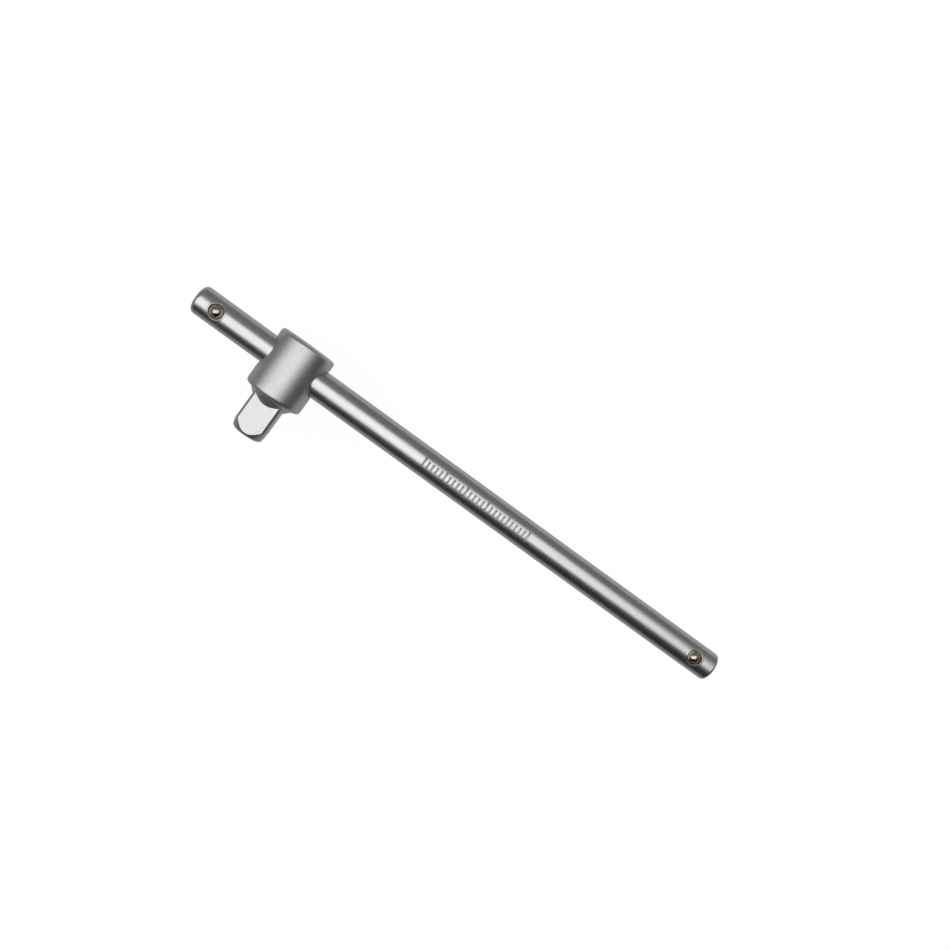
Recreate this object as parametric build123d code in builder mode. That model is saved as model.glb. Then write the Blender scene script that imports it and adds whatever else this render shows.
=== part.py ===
from build123d import *
from math import cos, degrees, radians, sqrt, tan
import os

# A sliding T handle that turns sockets by a half inch square drive.
# A round bar runs through the cross bore of a drive head. The head slides along the bar
# between two sprung stop balls, swivels about the bar, and a spring ring in the bore holds it
# where it is put. A third sprung ball on the back of the square holds the socket.
#
# The tool lies flat. The origin is on the head's axis at the square's end face. X runs along
# the bar, Y from the square's end face up to the head's top, and Z stands up, out of the face
# of the bar that carries the stop balls.

# Bar
bar_diameter = 12.0
bar_length = 250.0
head_from_left_end = 44.5
left_end_round = 2.0
right_end_round = 1.2

# Graduations stamped in the bar's front
tick_count = 26
tick_pitch = 2.0
tick_width = 0.5
tick_depth = 0.2
long_tick = 4.7
short_tick = 2.8
ticks_per_long_one = 5
first_tick_share = 0.425

# Drive head
head_diameter = 24.0
head_above_bar = 10.3
head_below_bar = 14.75
head_top_round = 1.4
head_bottom_round = 1.7
bore_clearance = 0.2
bore_rim_round = 0.8

# Neck, a 45 degree cone from the head's underside into the square
neck_rim_diameter = 19.4
neck_rim_fillet = 1.2
neck_angle = 45.0
neck_core_share = 0.8
neck_fillet = 1.5

# Square drive
square_width = 12.7
square_over_corners = 16.6
square_reach = 32.2
tip_diameter = 11.5
tip_lead_angle = 30.0
tip_round = 1.8

# Friction ring, a C of round spring wire in a groove at the middle of the bore
ring_wire = 1.2
ring_opening_angle = 40.0
ring_to_bar = 0.03
ring_to_groove = 0.07

# Sprung balls, each behind a lip that a ring punch has staked over it
ball_diameter = 5.0
mouth_diameter = 4.3
mouth_land = 0.1
lip_start_share = 0.25
ball_to_hole = 0.1
ball_to_lip = 0.05
punch_diameter = 6.2
punch_land = 0.35
stop_ball_from_end = 9.7
stop_lip_drop = 0.35
stop_punch_drop = 1.0
stop_hole_depth = 10.3
drive_ball_from_tip = 7.9
drive_lip_drop = 0.15
drive_punch_drop = 0.5
drive_hole_depth = 10.6
drill_point_angle = 118.0

# Compression springs behind the balls
spring_wire = 0.5
spring_diameter = 4.5
spring_turns = 4
spring_to_seat = 0.03

# How far a cutting shape runs past the surface it cuts
overrun = 1.0

bar_radius = bar_diameter / 2
bar_left = -head_from_left_end
bar_right = bar_left + bar_length
head_radius = head_diameter / 2
underside = square_reach - head_below_bar
head_top = square_reach + head_above_bar
bore_radius = bar_radius + bore_clearance
ball_radius = ball_diameter / 2
bar_axis = Axis((0, square_reach, 0), (1, 0, 0))

left_ball_place = (bar_left + stop_ball_from_end, square_reach, 0)
right_ball_place = (bar_right - stop_ball_from_end, square_reach, 0)
drive_ball_place = (0, drive_ball_from_tip, 0)


def upright_plane(place, facing):
    """Plane through a ball's axis, whose local Y points the way the ball faces, +1 up or -1 down."""
    return Plane(origin=place, x_dir=(1, 0, 0), z_dir=(0, -facing, 0))


def ball_height(surface, lip_drop):
    """Height of a ball's centre above the tool's middle plane, with the ball up against its lip."""
    lip_above_centre = sqrt(ball_radius**2 - (mouth_diameter / 2) ** 2)
    return surface - lip_drop - mouth_land - ball_to_lip - lip_above_centre


def spring_ends(surface, lip_drop, hole_depth):
    """Heights of the spring's lowest and highest wire centres, on the drill cone and under the ball."""
    wire_circle = (spring_diameter - spring_wire) / 2
    half_wire = spring_wire / 2
    cone_slope = radians(90 - drill_point_angle / 2)
    floor = surface - hole_depth
    low = floor + wire_circle * tan(cone_slope) + (half_wire + spring_to_seat) / cos(cone_slope)
    reach = ball_radius + half_wire + spring_to_seat
    high = ball_height(surface, lip_drop) - sqrt(reach**2 - wire_circle**2)
    return low, high


def pocket_section(place, facing, surface, lip_drop, punch_drop, hole_depth):
    """Half section of a staked ball pocket: drill cone, bore, lip over the ball, and the punch ring."""
    hole_radius = ball_radius + ball_to_hole
    mouth_radius = mouth_diameter / 2
    punch_radius = punch_diameter / 2
    drill_cone = hole_radius * tan(radians(90 - drill_point_angle / 2))
    floor = surface - hole_depth
    lip = surface - lip_drop
    with BuildSketch(upright_plane(place, facing)) as section:
        with BuildLine():
            Polyline(
                (0, floor),
                (hole_radius, floor + drill_cone),
                (hole_radius, ball_height(surface, lip_drop) + ball_radius * lip_start_share),
                (mouth_radius, lip - mouth_land),
                (mouth_radius, lip),
                (punch_radius - punch_land, surface - punch_drop),
                (punch_radius, surface - punch_drop),
                (punch_radius, surface + overrun),
                (0, surface + overrun),
                close=True,
            )
        make_face()
    return section.sketch


def tick_section(x, height):
    """Band of the bar's outer skin that one stamped tick takes away, seen along the bar."""
    half_angle = degrees(height / 2 / bar_radius)
    centre = (square_reach, 0)
    with BuildSketch(Plane.YZ.offset(x)) as section:
        with BuildLine():
            inner = CenterArc(centre, bar_radius - tick_depth, 90 - half_angle, 2 * half_angle)
            outer = CenterArc(centre, bar_radius + overrun, 90 - half_angle, 2 * half_angle)
            Line(inner @ 0, outer @ 0)
            Line(inner @ 1, outer @ 1)
        make_face()
    return section.sketch


def least_coil_gap(path):
    """Least gap between a coil's turns, from points set evenly along it."""
    points_per_turn = 8
    steps = spring_turns * points_per_turn
    points = [path @ (i / steps) for i in range(steps + 1)]
    pairs = [(a, b) for i, a in enumerate(points) for b in points[i + points_per_turn // 2 :]]
    return min((a - b).length for a, b in pairs) - spring_wire


os.makedirs("parts", exist_ok=True)

stop_pocket = {
    "facing": 1,
    "surface": bar_radius,
    "lip_drop": stop_lip_drop,
    "punch_drop": stop_punch_drop,
    "hole_depth": stop_hole_depth,
}
drive_pocket = {
    "facing": -1,
    "surface": square_width / 2,
    "lip_drop": drive_lip_drop,
    "punch_drop": drive_punch_drop,
    "hole_depth": drive_hole_depth,
}

# Bar: a plain round rod, rounded more at its left end, with a stop ball pocket near each end
with BuildPart() as t_bar:
    with BuildSketch(Plane.YZ.offset(bar_left)):
        with Locations((square_reach, 0)):
            Circle(bar_radius)
    extrude(amount=bar_length)
    fillet(t_bar.edges().group_by(Axis.X)[0], left_end_round)
    fillet(t_bar.edges().group_by(Axis.X)[-1], right_end_round)
    for place in (left_ball_place, right_ball_place):
        revolve(
            pocket_section(place, **stop_pocket),
            axis=Axis(place, (0, 0, 1)),
            mode=Mode.SUBTRACT,
        )
    first_tick = bar_left + first_tick_share * bar_length
    for i in range(tick_count):
        height = short_tick if i % ticks_per_long_one else long_tick
        extrude(
            tick_section(first_tick + i * tick_pitch, height),
            amount=tick_width,
            mode=Mode.SUBTRACT,
        )
t_bar.part.label = "t_bar"
export_step(t_bar.part, "parts/t_bar.step")

# Square shank: turned corners, a lead-in cone and a small flare at the neck, cut to the square
tip_radius = tip_diameter / 2
corner_radius = square_over_corners / 2
neck_rim = neck_rim_diameter / 2
lead_top = (corner_radius - tip_radius) / tan(radians(tip_lead_angle))
neck_bottom = underside - (neck_rim - corner_radius) / tan(radians(neck_angle))
with BuildPart() as square_shank:
    with BuildSketch(Plane.XY) as turned:
        with BuildLine():
            Polyline(
                (0, 0),
                (tip_radius, 0),
                (corner_radius, lead_top),
                (corner_radius, neck_bottom),
                (neck_rim, underside),
                (0, underside),
                close=True,
            )
        make_face()
        fillet(turned.vertices().sort_by_distance((tip_radius, 0))[0], tip_round)
        fillet(turned.vertices().sort_by_distance((corner_radius, neck_bottom))[0], neck_fillet)
    revolve(axis=Axis.Y)
    with BuildSketch(Plane.XZ):
        Rectangle(square_width, square_width)
    extrude(amount=-underside, mode=Mode.INTERSECT)

# Drive head: forged in one with the square, cross bored, grooved and pocketed for the drive ball
core_radius = square_width / 2 * neck_core_share
core_bottom = underside - (neck_rim - core_radius) / tan(radians(neck_angle))
ring_inner = bar_radius + ring_to_bar
groove_radius = ring_inner + ring_wire + ring_to_groove
groove_width = ring_wire + 2 * ring_to_groove
with BuildPart() as drive_head:
    with BuildSketch(Plane.XY) as half_head:
        with BuildLine():
            Polyline(
                (0, core_bottom),
                (core_radius, core_bottom),
                (neck_rim, underside),
                (head_radius, underside),
                (head_radius, head_top),
                (0, head_top),
                close=True,
            )
        make_face()
        fillet(half_head.vertices().sort_by_distance((head_radius, underside))[0], head_bottom_round)
        fillet(half_head.vertices().sort_by_distance((head_radius, head_top))[0], head_top_round)
        fillet(half_head.vertices().sort_by_distance((neck_rim, underside))[0], neck_rim_fillet)
    revolve(axis=Axis.Y)
    add(square_shank.part)
    with BuildSketch(Plane.YZ):
        with Locations((square_reach, 0)):
            Circle(bore_radius)
    extrude(amount=head_radius + overrun, both=True, mode=Mode.SUBTRACT)
    fillet(drive_head.edges(Select.LAST).filter_by(GeomType.LINE, reverse=True), bore_rim_round)
    with BuildSketch(Plane.XY):
        with Locations((0, square_reach + groove_radius / 2)):
            Rectangle(groove_width, groove_radius)
    revolve(axis=bar_axis, mode=Mode.SUBTRACT)
    revolve(
        pocket_section(drive_ball_place, **drive_pocket),
        axis=Axis(drive_ball_place, (0, 0, 1)),
        mode=Mode.SUBTRACT,
    )
drive_head.part.label = "drive_head"
export_step(drive_head.part, "parts/drive_head.step")

# Friction ring: open at the top, half in its groove and half against the bar
with BuildPart() as friction_ring:
    with BuildSketch(Plane.XY):
        with Locations((0, square_reach + ring_inner + ring_wire / 2)):
            Circle(ring_wire / 2)
    revolve(axis=bar_axis, revolution_arc=360 - ring_opening_angle)
friction_ring.part.label = "friction_ring"
export_step(friction_ring.part, "parts/friction_ring.step")

# Three balls and their springs
detents = {
    "stop_ball_left": (left_ball_place, stop_pocket),
    "stop_ball_right": (right_ball_place, stop_pocket),
    "drive_ball": (drive_ball_place, drive_pocket),
}
for name, (place, pocket) in detents.items():
    x, y, _ = place
    facing, surface, lip_drop = pocket["facing"], pocket["surface"], pocket["lip_drop"]
    with BuildPart() as ball:
        with Locations((x, y, facing * ball_height(surface, lip_drop))):
            Sphere(ball_radius)
    ball.part.label = name
    export_step(ball.part, f"parts/{name}.step")

    low, high = spring_ends(surface, lip_drop, pocket["hole_depth"])
    pitch = (high - low) / spring_turns
    with BuildPart() as spring:
        with BuildLine() as coil:
            Helix(
                pitch=pitch,
                height=high - low,
                radius=(spring_diameter - spring_wire) / 2,
                center=(x, y, facing * low),
                direction=(0, 0, facing),
            )
        with BuildSketch(Plane(origin=coil.line @ 0, z_dir=coil.line % 0)):
            Circle(spring_wire / 2)
        sweep(is_frenet=True)
    spring.part.label = name.replace("ball", "spring")
    export_step(spring.part, f"parts/{spring.part.label}.step")
    print(spring.part.label, "least gap between turns", round(least_coil_gap(coil.line), 3), "mm")
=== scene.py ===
"""The looks of a sliding T handle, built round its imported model.

The tool lies flat: X runs along the bar, Y from the drive square's end face up to the head's top,
and Z stands up out of the face of the bar that carries the stop balls. Pieces are modelled in
millimetres in that frame and brought to metres when they are finished.
"""

import logging
from collections.abc import Callable, Sequence
from dataclasses import dataclass
from enum import Enum
from math import acos, atan2, cos, pi, radians, sin, sqrt, tan, tau

import bmesh
import bpy
from bmesh.types import BMesh
from bpy.types import Material, Node, NodeSocket, NodeTree, Object
from mathutils import Matrix, Quaternion, Vector


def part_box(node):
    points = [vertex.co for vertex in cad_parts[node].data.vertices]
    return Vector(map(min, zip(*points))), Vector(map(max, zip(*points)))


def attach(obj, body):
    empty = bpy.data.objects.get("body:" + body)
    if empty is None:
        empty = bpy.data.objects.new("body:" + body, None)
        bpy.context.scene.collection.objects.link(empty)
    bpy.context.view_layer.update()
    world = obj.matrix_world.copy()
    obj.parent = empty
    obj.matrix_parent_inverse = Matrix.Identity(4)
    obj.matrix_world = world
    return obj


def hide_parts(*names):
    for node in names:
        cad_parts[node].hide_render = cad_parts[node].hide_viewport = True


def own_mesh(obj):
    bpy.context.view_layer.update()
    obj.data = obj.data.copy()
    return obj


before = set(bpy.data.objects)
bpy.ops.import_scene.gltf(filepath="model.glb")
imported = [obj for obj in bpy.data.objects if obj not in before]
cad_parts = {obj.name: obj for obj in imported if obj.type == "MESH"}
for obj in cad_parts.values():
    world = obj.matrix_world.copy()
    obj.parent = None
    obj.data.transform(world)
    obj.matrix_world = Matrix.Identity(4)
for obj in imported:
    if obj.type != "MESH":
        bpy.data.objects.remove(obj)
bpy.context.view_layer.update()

MM = 0.001
LOG = logging.getLogger("t_handle")
WHITE = "#FFFFFF"
# How far a rounding of radius one reaches along two sides that turn by 45 degrees
REACH_AT_45 = tan(radians(45 / 2))

Ring = list[Vector]
Section = list[tuple[float, float]]
Fade = Sequence[tuple[float, float | str]]
ByAngle = Callable[[float], float]
Source = NodeSocket | Node


def linear(colour: str) -> tuple[float, float, float, float]:
    """Turns an sRGB colour into the linear one that Blender works in.

    Args:
        colour: Six hex digits after a hash sign.

    Returns:
        Red, green, blue and an alpha of one.
    """
    parts = [int(colour[i : i + 2], 16) / 255 for i in (1, 3, 5)]
    red, green, blue = (p / 12.92 if p <= 0.04045 else ((p + 0.055) / 1.055) ** 2.4 for p in parts)
    return red, green, blue, 1.0


def add_node(
    tree: NodeTree,
    kind: str,
    settings: dict[str | int, object] | None = None,
    links: dict[str | int, Source] | None = None,
) -> Node:
    """Adds one shader node with its settings and links.

    Args:
        tree: The material's or the world's nodes.
        kind: The node's type, as Blender names it after "ShaderNode".
        settings: Values for the node's properties, or for its inputs, by name or number, where it
            has no such property.
        links: What feeds the node's inputs, by the input's name or number. A node stands for its
            first output.

    Returns:
        The new node.
    """
    node = tree.nodes.new("ShaderNode" + kind)
    for name, value in (settings or {}).items():
        if isinstance(name, str) and hasattr(node, name):
            setattr(node, name, value)
        else:
            node.inputs[name].default_value = value
    for name, source in (links or {}).items():
        output = source.outputs[0] if isinstance(source, Node) else source
        tree.links.new(output, node.inputs[name])
    return node


def per_mm(*sizes: float) -> tuple[float, float, float]:
    """Scale of a pattern on Object coordinates, from its real size in millimetres.

    Args:
        sizes: One size for all ways, or three, for X, Y and Z.

    Returns:
        The three scales, in repeats to the metre.
    """
    x, y, z = sizes if len(sizes) == 3 else sizes * 3
    return 1 / (x * MM), 1 / (y * MM), 1 / (z * MM)


def spread(first: float, last: float, steps: int) -> list[float]:
    """Evenly spaced values from the first to the last, both included."""
    return [first + (last - first) * i / steps for i in range(steps + 1)]


def bar_height() -> float:
    """Height of the bar's axis above the drive square's end face, in metres."""
    low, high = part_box("t_bar")
    return (low.y + high.y) / 2


@dataclass(frozen=True)
class Metal:
    """What plated and bare metal share: a colour, a fine grain and wider clouds."""

    name: str
    light: str
    dull: str
    roughness: float
    grain_mm: float
    grain_depth_mm: float
    cloud_mm: float
    # Whether the grain shades the colour, or else the clouds
    grain_shades: bool = False
    roughness_spread: float = 0.0
    line_length_mm: float = 28.0
    line_width_mm: float = 0.5
    line_depth_mm: float = 0.0
    # The noises' detail, for the grain, the clouds and the lines
    details: tuple[float, float, float] = (2.0, 3.0, 3.0)

    def material(self) -> Material:
        """Makes the metal's material.

        Returns:
            A material with a grain, clouds of gloss and, where they are wanted, grinding lines.
        """
        made = bpy.data.materials.new(self.name)
        made.use_nodes = True
        tree = made.node_tree
        shader = tree.nodes["Principled BSDF"]
        shader.inputs["Metallic"].default_value = 1.0
        shader.inputs["Roughness"].default_value = self.roughness
        place = add_node(tree, "TexCoord").outputs["Object"]
        sizes = [(self.grain_mm,), (self.cloud_mm,)]
        if self.line_depth_mm:
            sizes.append((self.line_length_mm, self.line_width_mm, self.line_width_mm))
        noises = []
        for size, detail in zip(sizes, self.details):
            scaled = add_node(tree, "Mapping", {"Scale": per_mm(*size)}, {0: place})
            noises.append(add_node(tree, "TexNoise", {"Scale": 1.0, "Detail": detail}, {0: scaled}))
        grain, cloud, *lines = noises
        tint = add_node(
            tree,
            "Mix",
            {"data_type": "RGBA", 6: linear(self.dull), 7: linear(self.light)},
            {0: grain if self.grain_shades else cloud},
        )
        tree.links.new(tint.outputs[2], shader.inputs["Base Color"])
        if self.roughness_spread:
            dullest = self.roughness + self.roughness_spread
            glossiest = self.roughness - self.roughness_spread
            gloss = add_node(
                tree, "MapRange", {"To Min": dullest, "To Max": glossiest}, {"Value": cloud}
            )
            tree.links.new(gloss.outputs[0], shader.inputs["Roughness"])
        depth = {"Strength": 1.0, "Distance": self.grain_depth_mm * MM}
        bump = add_node(tree, "Bump", depth, {"Height": grain})
        for noise in lines:
            depth = {"Strength": 1.0, "Distance": self.line_depth_mm * MM}
            bump = add_node(tree, "Bump", depth, {"Height": noise, "Normal": bump})
        tree.links.new(bump.outputs[0], shader.inputs["Normal"])
        return made


@dataclass(frozen=True)
class SatinChrome(Metal):
    """Satin chrome plate on forged steel: bead blasted, then plated, so it is bright but soft.

    The blasting breaks each reflection into a blur, and the plate keeps a fine uneven grain, in
    its colour as well as its height. The bar was ground along its length first, which leaves faint
    lines that run with it.
    """

    name: str = "satin_chrome_plate"
    light: str = "#D3D4D3"
    dull: str = "#B8B9B8"
    roughness: float = 0.29
    # The real grain is under 0.1 mm, too fine for this picture, so it is drawn coarser
    grain_mm: float = 0.45
    grain_depth_mm: float = 0.0016
    cloud_mm: float = 5.0
    grain_shades: bool = True
    roughness_spread: float = 0.05
    details: tuple[float, float, float] = (2.0, 4.0, 3.0)


@dataclass(frozen=True)
class BareSteel(Metal):
    """Bare steel, browner than the plate's grey. On the polished ball the warm brown is a painted
    reflection of warm surroundings; on the staked ring it is partly a film of oil, partly that
    painted warm reflection.

    A ball of bearing steel is polished like a mirror. Spring wire is drawn and tempered, so it is
    darker and duller. The metal that a punch has pushed over a ball is torn and rough.
    """

    cloud_mm: float = 1.6


class Finish(Enum):
    """The finishes on the tool, each made once."""

    BAR = SatinChrome("satin_chrome_on_ground_bar", line_depth_mm=0.0012)
    HEAD = SatinChrome(
        "satin_chrome_on_forging",
        light="#D2D3D1",
        dull="#AFB0AE",
        roughness=0.40,
        grain_mm=0.7,
        grain_depth_mm=0.004,
        cloud_mm=6.0,
    )
    SQUARE = SatinChrome("satin_chrome_on_ground_square", roughness=0.36, cloud_mm=3.0)
    # The ball's warm brown colour is a painted reflection of warm surroundings, not the steel's own
    # grey
    BALL = BareSteel(
        "polished_bearing_steel",
        light="#D2C9B8",
        dull="#B5AA93",
        roughness=0.09,
        grain_mm=0.6,
        grain_depth_mm=0.0004,
    )
    SPRING = BareSteel(
        "oil_tempered_spring_wire",
        light="#7E756A",
        dull="#5E564D",
        roughness=0.35,
        grain_mm=0.2,
        grain_depth_mm=0.002,
    )
    # Olive brown: partly a film of oil, partly a painted warm reflection of the surroundings
    STAKED = BareSteel(
        "staked_steel_oil_and_painted_reflection",
        light="#A49C88",
        dull="#6C6454",
        roughness=0.33,
        grain_mm=0.7,
        grain_depth_mm=0.03,
        cloud_mm=1.2,
    )

    def material(self) -> Material:
        """This finish's material, made the first time that it is asked for."""
        return bpy.data.materials.get(self.value.name) or self.value.material()


class Way(Enum):
    """The ways that a cutter or a second solid meets the first."""

    CUT = "DIFFERENCE"
    JOIN = "UNION"


def arc(
    centre: tuple[float, float], radius: float, start: float, end: float, steps: int
) -> Section:
    """Points of an arc in a section.

    Args:
        centre: The arc's centre.
        radius: Its radius.
        start: The first point's angle in degrees.
        end: The last point's angle in degrees.
        steps: How many chords the arc has.

    Returns:
        The points, both ends included.
    """
    angles = [radians(a) for a in spread(start, end, steps)]
    return [(centre[0] + radius * cos(a), centre[1] + radius * sin(a)) for a in angles]


def skin(solid: BMesh, rings: Sequence[Ring], capped: bool = False) -> None:
    """Lays a skin over closed rings of points, each joined point to point to the next.

    Bridging would pair the points by their distance, and so twist the skin between a narrow ring
    and a wide one.

    Args:
        solid: The mesh that the skin goes into.
        rings: The rings, all with the same number of points.
        capped: Whether the first and last rings are filled.
    """
    loops = [[solid.verts.new(point) for point in ring] for ring in rings]
    for low, high in zip(loops, loops[1:]):
        for corners in zip(low, low[1:] + low[:1], high[1:] + high[:1], high):
            solid.faces.new(corners)
    if capped:
        for end in (loops[0], loops[-1]):
            solid.faces.new(end)


def turned(profile: Section, origin: Vector, axis: Vector, start: Vector, sides: int) -> BMesh:
    """Turns a profile about an axis, as on a lathe.

    Args:
        profile: Points as distance along the axis and radius, from one end to the other.
        origin: Where the axis starts.
        axis: The axis's direction.
        start: The direction, square to the axis, in which the profile is drawn.
        sides: How many sides the turned solid has.

    Returns:
        The closed solid.
    """
    solid = bmesh.new()
    points = [solid.verts.new(origin + axis * along + start * radius) for along, radius in profile]
    edges = [solid.edges.new(pair) for pair in zip(points, points[1:])]
    bmesh.ops.spin(
        solid,
        geom=points + edges,
        cent=origin,
        axis=axis,
        angle=tau,
        steps=sides,
        use_merge=True,
    )
    tidy(solid)
    return solid


def tube(path: Sequence[Vector], outward: Sequence[Vector], radius: float, sides: int) -> BMesh:
    """A round wire along a path.

    Args:
        path: The points that the wire's centre follows.
        outward: At each point, a direction that isn't along the path and turns smoothly.
        radius: The wire's radius.
        sides: How many sides the wire has.

    Returns:
        The closed solid.
    """
    rings = []
    turns = spread(0, tau, sides)[:-1]
    for i, (point, out) in enumerate(zip(path, outward)):
        ahead = (path[min(i + 1, len(path) - 1)] - path[max(i - 1, 0)]).normalized()
        across = (out - ahead * out.dot(ahead)).normalized()
        square = ahead.cross(across)
        rings.append([point + (across * cos(a) + square * sin(a)) * radius for a in turns])
    solid = bmesh.new()
    skin(solid, rings, capped=True)
    tidy(solid)
    return solid


def tidy(solid: BMesh, gap: float = 0.0005) -> None:
    """Merges what meets and turns all faces outwards.

    Args:
        solid: The mesh.
        gap: Points nearer than this, in millimetres, are one point.
    """
    bmesh.ops.remove_doubles(solid, verts=solid.verts, dist=gap)
    bmesh.ops.dissolve_degenerate(solid, edges=solid.edges, dist=gap)
    bmesh.ops.recalc_face_normals(solid, faces=solid.faces)


def as_object(solid: BMesh, name: str, materials: Sequence[Material]) -> Object:
    """Puts a mesh into the scene as an object.

    Args:
        solid: The mesh, which is freed.
        name: The object's name.
        materials: Its material slots.

    Returns:
        The object, at the origin.
    """
    mesh = bpy.data.meshes.new(name)
    solid.to_mesh(mesh)
    solid.free()
    for material in materials:
        mesh.materials.append(material)
    made = bpy.data.objects.new(name, mesh)
    bpy.context.scene.collection.objects.link(made)
    return made


def applied(piece: Object) -> None:
    """Makes a piece's modifiers part of its mesh.

    Args:
        piece: The object.
    """
    seen = piece.evaluated_get(bpy.context.evaluated_depsgraph_get())
    mesh = bpy.data.meshes.new_from_object(seen)
    old = piece.data
    piece.modifiers.clear()
    piece.data = mesh
    bpy.data.meshes.remove(old)


def combine(piece: Object, other: Object, way: Way) -> None:
    """Cuts or joins a piece with another object, which is used up.

    Args:
        piece: The object that stays.
        other: The cutter, or the solid that is added.
        way: What is done with it.
    """
    step = piece.modifiers.new(way.name, "BOOLEAN")
    step.object = other
    step.operation = way.value
    step.solver = "EXACT"
    step.material_mode = "TRANSFER"
    applied(piece)
    bpy.data.objects.remove(other)


def finished(
    piece: Object, body: str, nodes: Sequence[str], crease: float = 30.0
) -> Object:
    """Brings a piece to metres, smooths its shading and hands it to the frame.

    Args:
        piece: The object, in millimetres.
        body: The body that it rides on.
        nodes: The nodes that it stands for.
        crease: Edges that turn by more than this many degrees stay sharp.

    Returns:
        The piece.
    """
    piece.data.transform(Matrix.Scale(MM, 4))
    piece.data.shade_smooth()
    piece.data.set_sharp_from_angle(angle=radians(crease))
    even = piece.modifiers.new("even_normals", "WEIGHTED_NORMAL")
    even.keep_sharp = True
    even.mode = "FACE_AREA_WITH_ANGLE"
    applied(piece)
    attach(piece, body)
    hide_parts(*nodes)
    LOG.info("%s: %d faces, rides on %s", piece.name, len(piece.data.polygons), body)
    return piece


@dataclass
class BallCatch:
    """A sprung ball behind a lip that a ring punch has staked over it, its pocket and spring."""

    ball_node: str
    spring_node: str
    ball_body: str
    carrier_body: str
    joint: str
    facing: float
    plate: Finish
    surface: float
    lip_drop: float
    punch_drop: float
    hole_depth: float
    press: float
    # Radius of the round surface that the pocket is cut in, or nothing for a flat
    round_surface: float | None = None
    mouth_radius: float = 2.15
    mouth_land: float = 0.1
    lip_start_share: float = 0.25
    punch_radius: float = 3.1
    punch_land: float = 0.1
    punch_skim: float = 0.1
    punch_steps: int = 8
    rim_bevel: float = 0.06
    bead_offset: float = 0.25
    bead_curve: float = 0.7
    bead_rise: float = 0.1
    bead_steps: int = 48
    ball_to_hole: float = 0.1
    drill_point_angle: float = 118.0
    spring_wire: float = 0.5
    spring_diameter: float = 4.5
    spring_turns: int = 4
    steps_per_turn: int = 32
    wire_sides: int = 16
    ball_subdivisions: int = 5
    overrun: float = 1.0
    sides: int = 96

    def __post_init__(self) -> None:
        """Takes the ball's place and size from the frame."""
        low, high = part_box(self.ball_node)
        self.centre = (low + high) / 2 / MM
        self.radius = (high.z - low.z) / 2 / MM

    def at(self, radius: float, angle: float, height: float) -> Vector:
        """A point beside the ball's axis.

        Args:
            radius: Its distance from the axis.
            angle: Its angle round the axis.
            height: Its height above the tool's middle plane, towards the side that the ball faces.

        Returns:
            The point.
        """
        x = self.centre.x + radius * cos(angle)
        y = self.centre.y + radius * sin(angle)
        return Vector((x, y, self.facing * height))

    def surface_drop(self, radius: float, angle: float) -> float:
        """How far a round bar's surface has dropped below its crest beside the ball's axis.

        Args:
            radius: The distance from the axis.
            angle: The angle round the axis.

        Returns:
            The drop, none for a flat surface.
        """
        if self.round_surface is None:
            return 0.0
        side = radius * sin(angle)
        return self.round_surface - sqrt(self.round_surface**2 - side**2)

    def punched(self, share: float) -> tuple[float, ByAngle]:
        """A level of the ring that the punch has pushed down round the lip.

        Args:
            share: From 0, at the lip, to 1, at the ring's lowest part.

        Returns:
            Its radius, and its height by angle, which stays a little below the bar's own skin.
        """
        reach = self.punch_radius - self.punch_land - self.mouth_radius
        radius = self.mouth_radius + reach * share
        fall = (self.punch_drop - self.lip_drop) * (1 - sqrt(1 - share**2))

        def height(angle: float) -> float:
            """The level's height at an angle."""
            skim = self.surface_drop(radius, angle) + self.punch_skim
            return self.surface - min(max(self.lip_drop + fall, skim), self.punch_drop)

        return radius, height

    def bead(self) -> Object:
        """The low bead of metal that the punch has raised round its ring, on a round surface.

        Returns:
            The bead, a ring that is sunk in the surface, all but its crest.
        """
        reach = self.punch_radius + self.bead_offset
        sink = self.bead_curve - self.bead_rise
        up = Vector((0, 0, self.facing * self.bead_curve))
        turns = spread(0, tau, self.bead_steps)[:-1]
        rings = []
        for angle in spread(0, tau, self.sides):
            crest = self.at(reach, angle, self.surface - self.surface_drop(reach, angle))
            inward = Vector((0, self.centre.y - crest.y, -crest.z)) / self.round_surface
            middle = crest + inward * sink
            out = Vector((cos(angle), sin(angle), 0)) * self.bead_curve
            rings.append([middle + out * cos(t) + up * sin(t) for t in turns])
        solid = bmesh.new()
        skin(solid, rings)
        tidy(solid)
        return as_object(solid, "punch_bead", [self.plate.material()])

    def cutter(self) -> Object:
        """The pocket's shape: drill cone, bore, lip over the ball, punched ring and soft rim.

        Returns:
            The solid to cut away.
        """
        hole = self.radius + self.ball_to_hole
        floor = self.surface - self.hole_depth
        lip = self.surface - self.lip_drop
        cone = hole * tan(radians(90 - self.drill_point_angle / 2))
        shoulder = abs(self.centre.z) + self.radius * self.lip_start_share
        rim, bevel = self.punch_radius, self.rim_bevel
        levels: list[tuple[float, ByAngle]] = [
            (self.mouth_land / 2, lambda a: floor),
            (hole, lambda a: floor + cone),
            (hole, lambda a: shoulder),
            (self.mouth_radius, lambda a: lip - self.mouth_land),
            (self.mouth_radius, lambda a: lip),
            *[self.punched(share) for share in spread(0, 1, self.punch_steps)[1:]],
            (rim, lambda a: self.surface - self.punch_drop),
            (rim, lambda a: self.surface - self.surface_drop(rim, a) - bevel),
            (rim + 2 * bevel, lambda a: self.surface - self.surface_drop(rim, a) + bevel),
            (rim + 2 * bevel, lambda a: self.surface + self.overrun),
        ]
        angles = spread(0, tau, self.sides)[:-1]
        rings = [[self.at(radius, a, height(a)) for a in angles] for radius, height in levels]
        solid = bmesh.new()
        skin(solid, rings, capped=True)
        tidy(solid)
        # Faces inside the punch's ring take the staked steel, whose brown is partly oil and partly
        # painted warm reflection
        for face in solid.faces:
            middle = face.calc_center_median() - self.centre
            face.material_index = int(middle.xy.length > rim)
        finishes = [Finish.STAKED.material(), self.plate.material()]
        return as_object(solid, "pocket_cutter", finishes)

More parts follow.
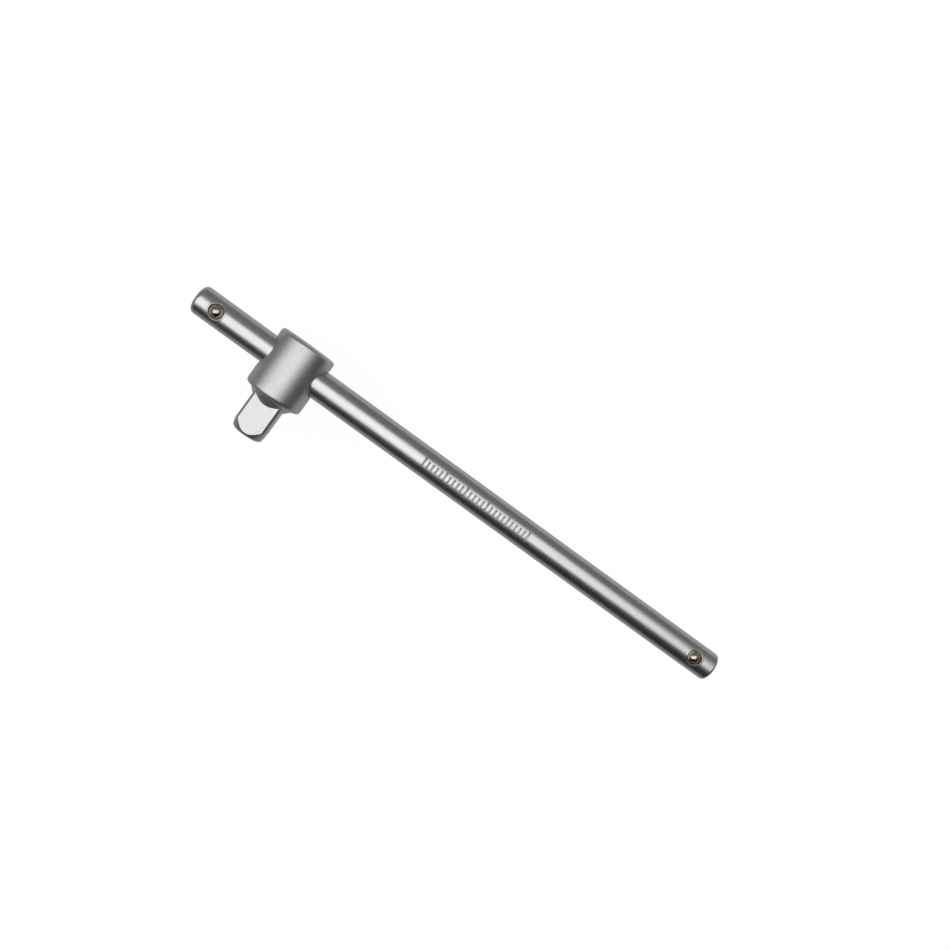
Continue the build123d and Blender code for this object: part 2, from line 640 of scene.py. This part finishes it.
    def ball(self) -> Object:
        """The ball, a sphere.

        Returns:
            The finished piece.
        """
        solid = bmesh.new()
        bmesh.ops.create_icosphere(
            solid,
            subdivisions=self.ball_subdivisions,
            radius=self.radius,
            matrix=Matrix.Translation(self.centre),
        )
        piece = as_object(solid, self.ball_node + "_polished", [Finish.BALL.material()])
        return finished(piece, self.ball_body, [self.ball_node], crease=180)

    def spring(self) -> Object:
        """The compression spring under the ball, a fixed coil; the real one shortens as the ball
        goes in.

        Returns:
            The finished piece.
        """
        low, high = (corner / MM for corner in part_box(self.spring_node))
        half_wire = self.spring_wire / 2
        circle = (self.spring_diameter - self.spring_wire) / 2
        bottom, top = low.z + half_wire, high.z - half_wire
        steps = self.spring_turns * self.steps_per_turn
        turns = spread(0, tau * self.spring_turns, steps)
        out = [Vector((cos(a), sin(a), 0)) for a in turns]
        base = Vector((self.centre.x, self.centre.y, 0))
        rise = [Vector((0, 0, z)) for z in spread(bottom, top, steps)]
        path = [base + o * circle + r for o, r in zip(out, rise)]
        solid = tube(path, out, half_wire, self.wire_sides)
        piece = as_object(solid, self.spring_node + "_coil", [Finish.SPRING.material()])
        finished(piece, self.carrier_body, [self.spring_node])
        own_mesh(piece)
        return piece


@dataclass
class SlidingBar:
    """The round bar, with a stop ball near each end and a row of stamped ticks along its front."""

    left_round: float = 2.0
    left_round_steps: int = 10
    right_round: float = 1.2
    right_round_steps: int = 8
    sides: int = 256
    tick_count: int = 26
    tick_pitch: float = 2.0
    tick_width: float = 0.8
    tick_depth: float = 0.3
    long_tick: float = 4.7
    short_tick: float = 2.8
    ticks_per_long_one: int = 5
    first_tick_share: float = 0.426
    tick_steps: int = 12
    # The cutters widen with their height, so a high one would run into its neighbour
    overrun: float = 0.1

    def __post_init__(self) -> None:
        """Takes the bar's place and size from the frame."""
        low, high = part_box("t_bar")
        self.left, self.right = low.x / MM, high.x / MM
        self.axis_y = bar_height() / MM
        self.radius = (high.y - low.y) / 2 / MM
        pocket = {
            "facing": 1.0,
            "plate": Finish.BAR,
            "surface": self.radius,
            "lip_drop": 0.35,
            "punch_drop": 1.0,
            "hole_depth": 10.3,
            "press": 0.9,
            "round_surface": self.radius,
        }
        self.catches = [
            BallCatch(
                ball_node=f"stop_ball_{side}",
                spring_node=f"stop_spring_{side}",
                ball_body=f"{side}_stop",
                carrier_body="bar",
                joint=f"{side}_stop_press",
                **pocket,
            )
            for side in ("left", "right")
        ]

    def rod(self) -> Object:
        """The plain rod, rounded at both ends.

        Returns:
            The rod, in millimetres.
        """
        big, small = self.left_round, self.right_round
        length = self.right - self.left
        left_end = arc((big, self.radius - big), big, 180, 90, self.left_round_steps)
        middle = (length - small, self.radius - small)
        right_end = arc(middle, small, 90, 0, self.right_round_steps)
        profile = [(0.0, 0.0), *left_end, *right_end, (length, 0.0)]
        origin = Vector((self.left, self.axis_y, 0))
        solid = turned(profile, origin, Vector((1, 0, 0)), Vector((0, 0, 1)), self.sides)
        return as_object(solid, "t_bar_plated", [Finish.BAR.material(), Finish.STAKED.material()])

    def tick_cutter(self) -> Object:
        """All the stamped ticks as one cutter, each a V that runs a short way round the bar.

        Returns:
            The solids to cut away.
        """
        solid = bmesh.new()
        first = self.left + self.first_tick_share * (self.right - self.left)
        inner, outer = self.radius - self.tick_depth, self.radius + self.overrun
        half_width = self.tick_width / 2 * (outer - inner) / self.tick_depth
        for i in range(self.tick_count):
            height = self.short_tick if i % self.ticks_per_long_one else self.long_tick
            half_angle = height / 2 / self.radius
            middle = first + i * self.tick_pitch
            corners = ((middle, inner), (middle + half_width, outer), (middle - half_width, outer))
            rings = [
                [Vector((x, self.axis_y + r * sin(a), r * cos(a))) for x, r in corners]
                for a in spread(-half_angle, half_angle, self.tick_steps)
            ]
            skin(solid, rings, capped=True)
        tidy(solid)
        return as_object(solid, "tick_cutter", [Finish.BAR.material()])

    def build(self) -> list[Object]:
        """Builds the bar and what rides in it.

        Returns:
            The bar, its balls and its springs.
        """
        bar = self.rod()
        for catch in self.catches:
            combine(bar, catch.bead(), Way.JOIN)
            combine(bar, catch.cutter(), Way.CUT)
        combine(bar, self.tick_cutter(), Way.CUT)
        pieces = [finished(bar, "bar", ["t_bar"])]
        for catch in self.catches:
            pieces += [catch.ball(), catch.spring()]
        return pieces


@dataclass
class DriveHead:
    """The forged head: a round body that the bar runs through, a neck, and the drive square."""

    underside: float = 17.45
    top_round: float = 1.4
    bottom_round: float = 1.7
    bore_radius: float = 6.2
    bore_rim_round: float = 0.8
    groove_radius: float = 7.3
    groove_width: float = 1.34
    neck_rim_radius: float = 9.7
    neck_rim_fillet: float = 1.2
    neck_fillet: float = 1.5
    half_square: float = 6.35
    corner_radius: float = 8.3
    tip_radius: float = 5.75
    tip_lead_angle: float = 30.0
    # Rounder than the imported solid's, as the real one shows
    tip_round: float = 2.3
    edge_bevel: float = 0.12
    sharp_edge_angle: float = 20.0
    bevel_segments: int = 2
    # Edges that turn by more than this keep their shading apart
    crease: float = 28.0
    flat_steps: int = 14
    corner_steps: int = 4
    side_steps: int = 44
    side_rings_out: int = 12
    top_round_steps: int = 10
    bottom_round_steps: int = 8
    rim_fillet_steps: int = 5
    shank_steps: int = 6
    lead_steps: int = 3
    bore_rim_steps: int = 10
    # Rings on the bore between its groove and its rim, as shares of the way out along X
    bore_shares: tuple[float, ...] = (0.35, 0.7)
    # How far rounding may put an angle past a quarter turn, in radians
    angle_slack: float = 1e-9

    def __post_init__(self) -> None:
        """Takes the head's place and size from the frame, and works out what follows."""
        low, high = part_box("drive_head")
        self.radius = (high.x - low.x) / 2 / MM
        self.top = high.y / MM
        self.bore_y = bar_height() / MM
        fillet_reach = self.neck_fillet * REACH_AT_45
        self.fillet_start = self.cone_height(self.corner_radius) - fillet_reach
        self.neck_reach = self.corner_radius + fillet_reach / sqrt(2)
        self.angles = self.angles_round_square()
        self.catch = BallCatch(
            ball_node="drive_ball",
            spring_node="drive_spring",
            ball_body="socket_ball",
            carrier_body="head",
            joint="socket_ball_press",
            facing=-1.0,
            plate=Finish.SQUARE,
            surface=self.half_square,
            lip_drop=0.15,
            punch_drop=0.5,
            hole_depth=10.6,
            press=1.1,
        )

    def angles_round_square(self) -> list[float]:
        """Angles round the head's axis, from the +X side towards +Z, close set at the corners.

        Returns:
            Angles in radians, once round, with one at each edge of each turned corner.
        """
        edge = acos(self.half_square / self.corner_radius)
        corner = pi / 2 - edge
        quarter = spread(0, edge, self.flat_steps)[:-1]
        quarter += spread(edge, corner, self.corner_steps)[:-1]
        quarter += spread(corner, pi / 2, self.flat_steps)[:-1]
        return [q * pi / 2 + a for q in range(4) for a in quarter]

    def laid(self, outline: Callable[[float], Section]) -> list[Ring]:
        """Lays an outline round the head's axis.

        Args:
            outline: Gives the outline's points, as radius and height, at an angle.

        Returns:
            A ring for each of the outline's points.
        """
        levels = zip(*(outline(a) for a in self.angles))
        return [
            [Vector((r * cos(a), y, r * sin(a))) for a, (r, y) in zip(self.angles, level)]
            for level in levels
        ]

    def cone_height(self, radius: float) -> float:
        """Height of the neck's 45 degree cone at a radius."""
        return self.underside - (self.neck_rim_radius - radius)

    def turned_radius(self, height: float) -> float:
        """Radius of the turned corners at a height from the neck fillet's start to its end."""
        rise = min(max(height - self.fillet_start, 0.0), self.neck_fillet)
        return self.corner_radius + self.neck_fillet - sqrt(self.neck_fillet**2 - rise**2)

    def shank(self, angle: float) -> Section:
        """Outline of the outside below the bore at an angle.

        Args:
            angle: The angle round the head's axis.

        Returns:
            Points as radius and height, from the bottom's rounding to the square's end face.
        """
        square = self.half_square / max(abs(cos(angle)), abs(sin(angle)))
        neck, wall = min(square, self.neck_reach), min(square, self.corner_radius)
        steps = self.shank_steps
        centre = (self.radius - self.bottom_round, self.underside + self.bottom_round)
        outline = arc(centre, self.bottom_round, 0, -90, self.bottom_round_steps)
        turn = self.neck_rim_fillet * REACH_AT_45
        centre = (self.neck_rim_radius + turn, self.underside - self.neck_rim_fillet)
        outline += arc(centre, self.neck_rim_fillet, 90, 135, self.rim_fillet_steps)
        outline += [(r, self.cone_height(r)) for r in spread(outline[-1][0], neck, steps)[1:]]
        # The fillet that carries a turned corner into the cone, then the plain wall
        neck_y = self.cone_height(neck)
        wall_y = min(self.fillet_start, neck_y)
        heights = spread(neck_y, wall_y, steps)[1:]
        outline += [(min(square, self.turned_radius(y)), y) for y in heights]
        slope = radians(self.tip_lead_angle)
        lead_y = (wall - self.tip_radius) / tan(slope)
        outline += [(wall, y) for y in spread(wall_y, lead_y, steps)[1:]]
        # The lead-in cone, which runs on into the tip's rounding
        centre = (self.tip_radius - self.tip_round * tan(slope), self.tip_round)
        (tip_r, tip_y), *tip = arc(centre, self.tip_round, -self.tip_lead_angle, -90, steps)
        outline += zip(
            spread(wall, tip_r, self.lead_steps)[1:], spread(lead_y, tip_y, self.lead_steps)[1:]
        )
        return outline + tip

    def bore_rings(self, count: int) -> list[Ring]:
        """Rings of the +X half of the bore, from the middle of its groove out to the body's side.

        Args:
            count: How many points each ring has, the first at the top.

        Returns:
            The groove, the bore, and the rounding that rolls over from the bore to the side.
        """
        turns = spread(0, tau, count)[:-1]
        half_groove = self.groove_width / 2

        def circle(x: float, radius: float) -> Ring:
            """A circle round the bar's axis."""
            return [Vector((x, self.bore_y + radius * cos(t), radius * sin(t))) for t in turns]

        rings = [
            circle(0, self.groove_radius),
            circle(half_groove, self.groove_radius),
            circle(half_groove, self.bore_radius),
        ]
        places = [(0, share) for share in self.bore_shares]
        places += [(roll, 1) for roll in spread(0, 1, self.bore_rim_steps)]
        rings += [[self.rim_point(t, roll, share) for t in turns] for roll, share in places]
        return rings

    def rim_point(self, turn: float, roll: float, share: float) -> Vector:
        """A point on the bore's rounded rim, where a ball of the rim's radius would roll.

        Args:
            turn: The angle round the bore, from the top towards +Z.
            roll: From 0, on the bore, to 1, on the body's side.
            share: How far out along X the point lies, as a share of the rim's own place.

        Returns:
            The point.
        """
        rim = self.bore_rim_round
        way = self.bore_radius + rim
        side = way * sin(turn)
        depth = sqrt((self.radius - rim) ** 2 - side**2)
        centre = Vector((depth, self.bore_y + way * cos(turn), side))
        to_bore = Vector((0, -cos(turn), -sin(turn)))
        to_side = Vector((depth, 0, side)).normalized()
        point = centre + to_bore.slerp(to_side, roll) * rim
        point.x *= share
        return point

    def side_rings(self, hole: Ring) -> list[Ring]:
        """Rings over the +X half of the body's side, from the bore's rim to the half's own edge.

        Args:
            hole: The ring where the bore's rounding ends.

        Returns:
            The rings after the hole's, the last one round the half's edge.
        """
        low, high = self.underside + self.bottom_round, self.top - self.top_round
        half = [a if a <= pi / 2 else a - tau for a in self.angles]
        across = sorted(a for a in half if a >= -pi / 2 - self.angle_slack)
        drop = spread(high, low, self.side_steps)
        edge = [(a, high) for a in across]
        edge += [(pi / 2, y) for y in drop[1:]]
        edge += [(a, low) for a in reversed(across[:-1])]
        edge += [(-pi / 2, y) for y in reversed(drop[1:-1])]
        start = len(across) // 2
        edge = edge[start:] + edge[:start]
        rings = []
        for share in spread(0, 1, self.side_rings_out)[1:]:
            ring = []
            for point, (angle, height) in zip(hole, edge):
                a = atan2(point.z, point.x)
                a += (angle - a) * share
                y = point.y + (height - point.y) * share
                ring.append(Vector((self.radius * cos(a), y, self.radius * sin(a))))
            rings.append(ring)
        return rings

    def body(self) -> BMesh:
        """The whole head's skin before its small edges are softened.

        Returns:
            The closed solid.
        """
        solid = bmesh.new()
        count = len(self.angles) + 2 * self.side_steps
        bore = self.bore_rings(count)
        skin(solid, bore + self.side_rings(bore[-1]))
        half = solid.verts[:] + solid.edges[:] + solid.faces[:]
        bmesh.ops.mirror(solid, geom=half, axis="X")
        centre = (self.radius - self.top_round, self.top - self.top_round)
        rounding = arc(centre, self.top_round, 0, 90, self.top_round_steps)
        skin(solid, self.laid(lambda angle: rounding))
        skin(solid, self.laid(self.shank))
        tidy(solid)
        ends = [e for e in solid.edges if e.is_boundary]
        bmesh.ops.holes_fill(solid, edges=ends)
        tidy(solid)
        return solid

    def soften(self, solid: BMesh) -> None:
        """Rounds the outer edges of the square and the neck, as blasting and plating do.

        Args:
            solid: The head.
        """
        top = self.underside - self.edge_bevel
        edges = [
            e
            for e in solid.edges
            if e.is_manifold
            and e.is_convex
            and e.calc_face_angle() > radians(self.sharp_edge_angle)
            and max(v.co.y for v in e.verts) < top
        ]
        bmesh.ops.bevel(
            solid,
            geom=edges,
            offset=self.edge_bevel,
            segments=self.bevel_segments,
            profile=0.5,
            affect="EDGES",
            material=-1,
            clamp_overlap=True,
        )

    def build(self) -> list[Object]:
        """Builds the head and what rides in it.

        Returns:
            The head, its socket ball and the ball's spring.
        """
        solid = self.body()
        self.soften(solid)
        for face in solid.faces:
            if face.calc_center_median().y < self.fillet_start:
                face.material_index = 1
        finishes = [finish.material() for finish in (Finish.HEAD, Finish.SQUARE, Finish.STAKED)]
        head = as_object(solid, "drive_head_plated", finishes)
        combine(head, self.catch.cutter(), Way.CUT)
        finished(head, "head", ["drive_head"], self.crease)
        return [head, self.catch.ball(), self.catch.spring()]


@dataclass
class FrictionRing:
    """The C of spring wire in the bore's groove, which holds the head where it is put."""

    wire: float = 1.2
    opening_angle: float = 40.0
    steps: int = 96
    sides: int = 20

    def build(self) -> Object:
        """Builds the ring round the bar's axis.

        Returns:
            The ring.
        """
        low, high = (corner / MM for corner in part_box("friction_ring"))
        axis = Vector(((low.x + high.x) / 2, bar_height() / MM, 0))
        radius = axis.y - low.y - self.wire / 2
        sweep = radians(360 - self.opening_angle)
        out = [Vector((0, cos(t), sin(t))) for t in spread(0, sweep, self.steps)]
        solid = tube([axis + o * radius for o in out], out, self.wire / 2, self.sides)
        piece = as_object(solid, "friction_ring_wire", [Finish.SPRING.material()])
        return finished(piece, "ring", ["friction_ring"])


@dataclass
class Studio:
    """A pale floor, soft light from overhead, and the photograph's camera, in millimetres."""

    eye: tuple[float, float, float] = (44.0, 53.0, 378.0)
    aim: tuple[float, float, float] = (81.5, 39.5, 0.0)
    roll: float = -36.2
    lens: float = 36.5
    sensor: float = 36.0
    # Nearest and furthest distance that the camera sees, in metres
    clip_range: tuple[float, float] = (0.01, 50.0)
    floor_size: float = 4000.0
    floor_gap: float = 0.5
    floor_tint: str = "#F2F3F4"
    paper_tint: str = "#F0F0EE"
    # How much of the paper that the camera sees is plain white light, which no shadow darkens
    white_share: float = 0.94
    # Metal sees the floor as a pool of light along the bar: its middle, half sizes and levels
    pool_middle: tuple[float, float] = (80.0, 120.0)
    pool_near: float = 45.0
    pool_far: float = 430.0
    pool_length: float = 3.0
    pool_level: float = 0.58
    pool_rest: float = 0.06
    # The lamp overhead is a long strip that is turned from the bar's direction
    lamp_place: tuple[float, float, float] = (-84.0, -91.0, 3000.0)
    lamp_turn: float = 32.0
    lamp_size: tuple[float, float] = (22000.0, 20000.0)
    lamp_stretch: tuple[float, float, float] = (2.92, 3.85, 1.0)
    lamp_level: float = 1.9
    lamp_tint: str = "#FDFEFF"
    # Its glow along the strip, and across it at the left end and the right, before it is stretched
    lamp_along: Fade = (
        (-3200, 0.13),
        (-1500, 0.46),
        (-900, 0.67),
        (-550, 0.86),
        (-320, 0.84),
        (-150, 0.7),
        (30, 0.96),
        (250, 0.72),
        (310, 0.61),
        (440, 0.74),
        (520, 0.66),
        (770, 0.24),
        (1100, 0.14),
        (2500, 0.03),
    )
    lamp_far: Fade = ((300, 1.0), (560, 0.0))
    lamp_near_left: Fade = ((-520, 0.0), (-330, 1.0))
    lamp_near_right: Fade = ((-850, 0.0), (-100, 1.0))
    lamp_left_share: Fade = ((100, 1.0), (550, 0.0))
    # How much further its far edge lies towards its left end, in metres, as the shader reads it
    lamp_widening: Fade = ((-1700, 0.6), (-200, 0.0))
    # Which way the dark side of the room lies, and how light the walls are from there on
    dark_side: tuple[float, float, float] = (0.585, -0.806, 0.0)
    walls: Fade = (
        (-1.0, "#7B7C78"),
        (-0.4, "#787873"),
        (0.5, "#4C4845"),
        (0.7, "#1F1A1A"),
        (0.8, "#0F0C0C"),
        (1.0, "#0A0808"),
    )

    def camera(self) -> None:
        """Puts the camera over the tool, turned so that the bar runs down to the right."""
        data = bpy.data.cameras.new("photo_camera")
        data.lens = self.lens
        data.sensor_width = self.sensor
        data.clip_start, data.clip_end = self.clip_range
        made = bpy.data.objects.new("photo_camera", data)
        bpy.context.scene.collection.objects.link(made)
        eye, aim = Vector(self.eye) * MM, Vector(self.aim) * MM
        ahead = (aim - eye).normalized()
        up = Vector((0, 1, 0))
        up = (up - ahead * up.dot(ahead)).normalized()
        up.rotate(Quaternion(ahead, radians(self.roll)))
        turn = Matrix((ahead.cross(up), up, -ahead)).transposed().to_4x4()
        made.matrix_world = Matrix.Translation(eye) @ turn
        bpy.context.scene.camera = made

    def plane(self, name: str, size: tuple[float, float], material: Material) -> Object:
        """Makes a flat rectangle round its own middle.

        Args:
            name: The object's name.
            size: Its length and width.
            material: What it is made of.

        Returns:
            The object, round the origin.
        """
        solid = bmesh.new()
        bmesh.ops.create_grid(
            solid,
            x_segments=1,
            y_segments=1,
            size=MM / 2,
            matrix=Matrix.Diagonal((*size, 1.0, 1.0)),
        )
        made = as_object(solid, name, [material])
        return made

    def floor(self) -> None:
        """Lays the floor, low enough for the drive square to swivel clear of it."""
        reach = bar_height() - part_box("drive_head")[0].y
        made = self.plane("floor", (self.floor_size, self.floor_size), self.floor_material())
        made.location.z = -reach - self.floor_gap * MM

    def floor_material(self) -> Material:
        """Matt white paper that the camera sees as white, with the tool's shadow on it.

        Returns:
            The paper. Metal sees it as a pool of light that fades away from the bar.
        """
        made = bpy.data.materials.new("white_paper")
        made.use_nodes = True
        tree = made.node_tree
        tree.nodes.clear()
        path = add_node(tree, "LightPath")
        paper = add_node(tree, "BsdfDiffuse", {"Color": linear(self.paper_tint)})
        white = add_node(tree, "Emission", {"Color": linear(WHITE), "Strength": 1.0})
        place = add_node(tree, "TexCoord").outputs["Object"]
        x, y = self.pool_middle
        from_middle = add_node(
            tree, "VectorMath", {"operation": "SUBTRACT", 1: (x * MM, y * MM, 0)}, {0: place}
        )
        squeezed = add_node(
            tree,
            "VectorMath",
            {"operation": "MULTIPLY", 1: (1 / self.pool_length, 1, 0)},
            {0: from_middle},
        )
        reach = add_node(tree, "VectorMath", {"operation": "LENGTH"}, {0: squeezed})
        fade = add_node(
            tree,
            "MapRange",
            {
                "interpolation_type": "SMOOTHERSTEP",
                "From Min": -self.pool_near * MM,
                "From Max": self.pool_far * MM,
                "To Min": self.pool_level,
                "To Max": self.pool_rest,
            },
            {"Value": reach.outputs["Value"]},
        )
        pool = add_node(tree, "Emission", {"Color": linear(self.floor_tint)}, {"Strength": fade})
        seen = add_node(
            tree,
            "Math",
            {"operation": "MAXIMUM"},
            {0: path.outputs["Is Camera Ray"], 1: path.outputs["Is Transmission Ray"]},
        )
        share = add_node(tree, "Math", {"operation": "MULTIPLY", 1: self.white_share}, {0: seen})
        to_eye = add_node(tree, "MixShader", None, {0: share, 1: paper, 2: white})
        ways = {0: path.outputs["Is Glossy Ray"], 1: to_eye, 2: pool}
        add_node(tree, "OutputMaterial", None, {0: add_node(tree, "MixShader", None, ways)})
        return made

    def room(self) -> None:
        """Surrounds the tool with a room that is lighter up and left in the picture than below."""
        world = bpy.data.worlds.new("studio_room")
        bpy.context.scene.world = world
        world.use_nodes = True
        tree = world.node_tree
        tree.nodes.clear()
        path = add_node(tree, "LightPath")
        place = add_node(tree, "TexCoord").outputs["Generated"]
        side = add_node(
            tree, "VectorMath", {"operation": "DOT_PRODUCT", 1: self.dark_side}, {0: place}
        )
        walls = self.fade(tree, side.outputs["Value"], self.walls, 1.0)
        metal = add_node(tree, "Background", None, {0: walls})
        plain = add_node(tree, "Background", {"Color": linear(WHITE)})
        ways = {0: path.outputs["Is Glossy Ray"], 1: plain, 2: metal}
        add_node(tree, "OutputWorld", None, {0: add_node(tree, "MixShader", None, ways)})

    def fade(self, tree: NodeTree, value: Source, stops: Fade, unit: float = MM) -> Node:
        """Turns a place into a level or a colour, smooth from one stop to the next.

        Args:
            tree: The material's or the world's nodes.
            value: Where on the fade a point lies.
            stops: Places with their levels, or with their sRGB colours.
            unit: What the places are multiplied by.

        Returns:
            The node that gives the level or colour.
        """
        low, high = stops[0][0], stops[-1][0]
        span = {"From Min": low * unit, "From Max": high * unit}
        share = add_node(tree, "MapRange", span, {"Value": value})
        made = add_node(tree, "ValToRGB", None, {0: share})
        made.color_ramp.interpolation = "EASE"
        points = made.color_ramp.elements
        points.remove(points[1])
        for i, (at, level) in enumerate(stops):
            point = points.new((at - low) / (high - low)) if i else points[0]
            point.color = linear(level) if isinstance(level, str) else (level, level, level, 1)
        return made

    def lamp_material(self) -> Material:
        """The lamp's glow, which fades towards its edges.

        Returns:
            A glow where the lamp is bright, and clear air where it has faded.
        """
        made = bpy.data.materials.new("lamp_glow")
        made.use_nodes = True
        tree = made.node_tree
        tree.nodes.clear()
        place = add_node(tree, "TexCoord").outputs["Object"]
        strip = add_node(
            tree,
            "Mapping",
            {
                "Scale": tuple(1 / by for by in self.lamp_stretch),
                "Rotation": (0, 0, -radians(self.lamp_turn)),
            },
            {0: place},
        )
        parts = add_node(tree, "SeparateXYZ", None, {0: strip})
        along, across = parts.outputs["X"], parts.outputs["Y"]
        widening = self.fade(tree, along, self.lamp_widening)
        narrowed = add_node(tree, "Math", {"operation": "SUBTRACT"}, {0: across, 1: widening})
        near = add_node(
            tree,
            "Mix",
            None,
            {
                0: self.fade(tree, along, self.lamp_left_share),
                2: self.fade(tree, across, self.lamp_near_right),
                3: self.fade(tree, across, self.lamp_near_left),
            },
        )
        level = self.fade(tree, along, self.lamp_along)
        for edge in (near, self.fade(tree, narrowed, self.lamp_far)):
            level = add_node(tree, "Math", {"operation": "MULTIPLY"}, {0: level, 1: edge})
        light = {"Color": linear(self.lamp_tint), "Strength": self.lamp_level}
        glow = add_node(tree, "Emission", light)
        air = add_node(tree, "BsdfTransparent")
        mixed = add_node(tree, "MixShader", None, {0: level, 1: air, 2: glow})
        add_node(tree, "OutputMaterial", None, {0: mixed})
        return made

    def lamp(self) -> None:
        """Hangs the one large lamp over the tool, out of the camera's sight."""
        made = self.plane("overhead_lamp", self.lamp_size, self.lamp_material())
        made.location = Vector(self.lamp_place) * MM
        made.visible_camera = False

    def build(self) -> None:
        """Sets up everything that isn't part of the tool."""
        self.camera()
        self.floor()
        self.room()
        self.lamp()
        bpy.context.scene.view_settings.view_transform = "Standard"


def main() -> None:
    """Builds the tool piece by piece, then the studio round it."""
    logging.basicConfig(level=logging.INFO, format="%(message)s")
    pieces = SlidingBar().build()
    pieces += DriveHead().build()
    pieces.append(FrictionRing().build())
    LOG.info("%d pieces in all", len(pieces))
    Studio().build()


if __name__ == "__main__":
    main()
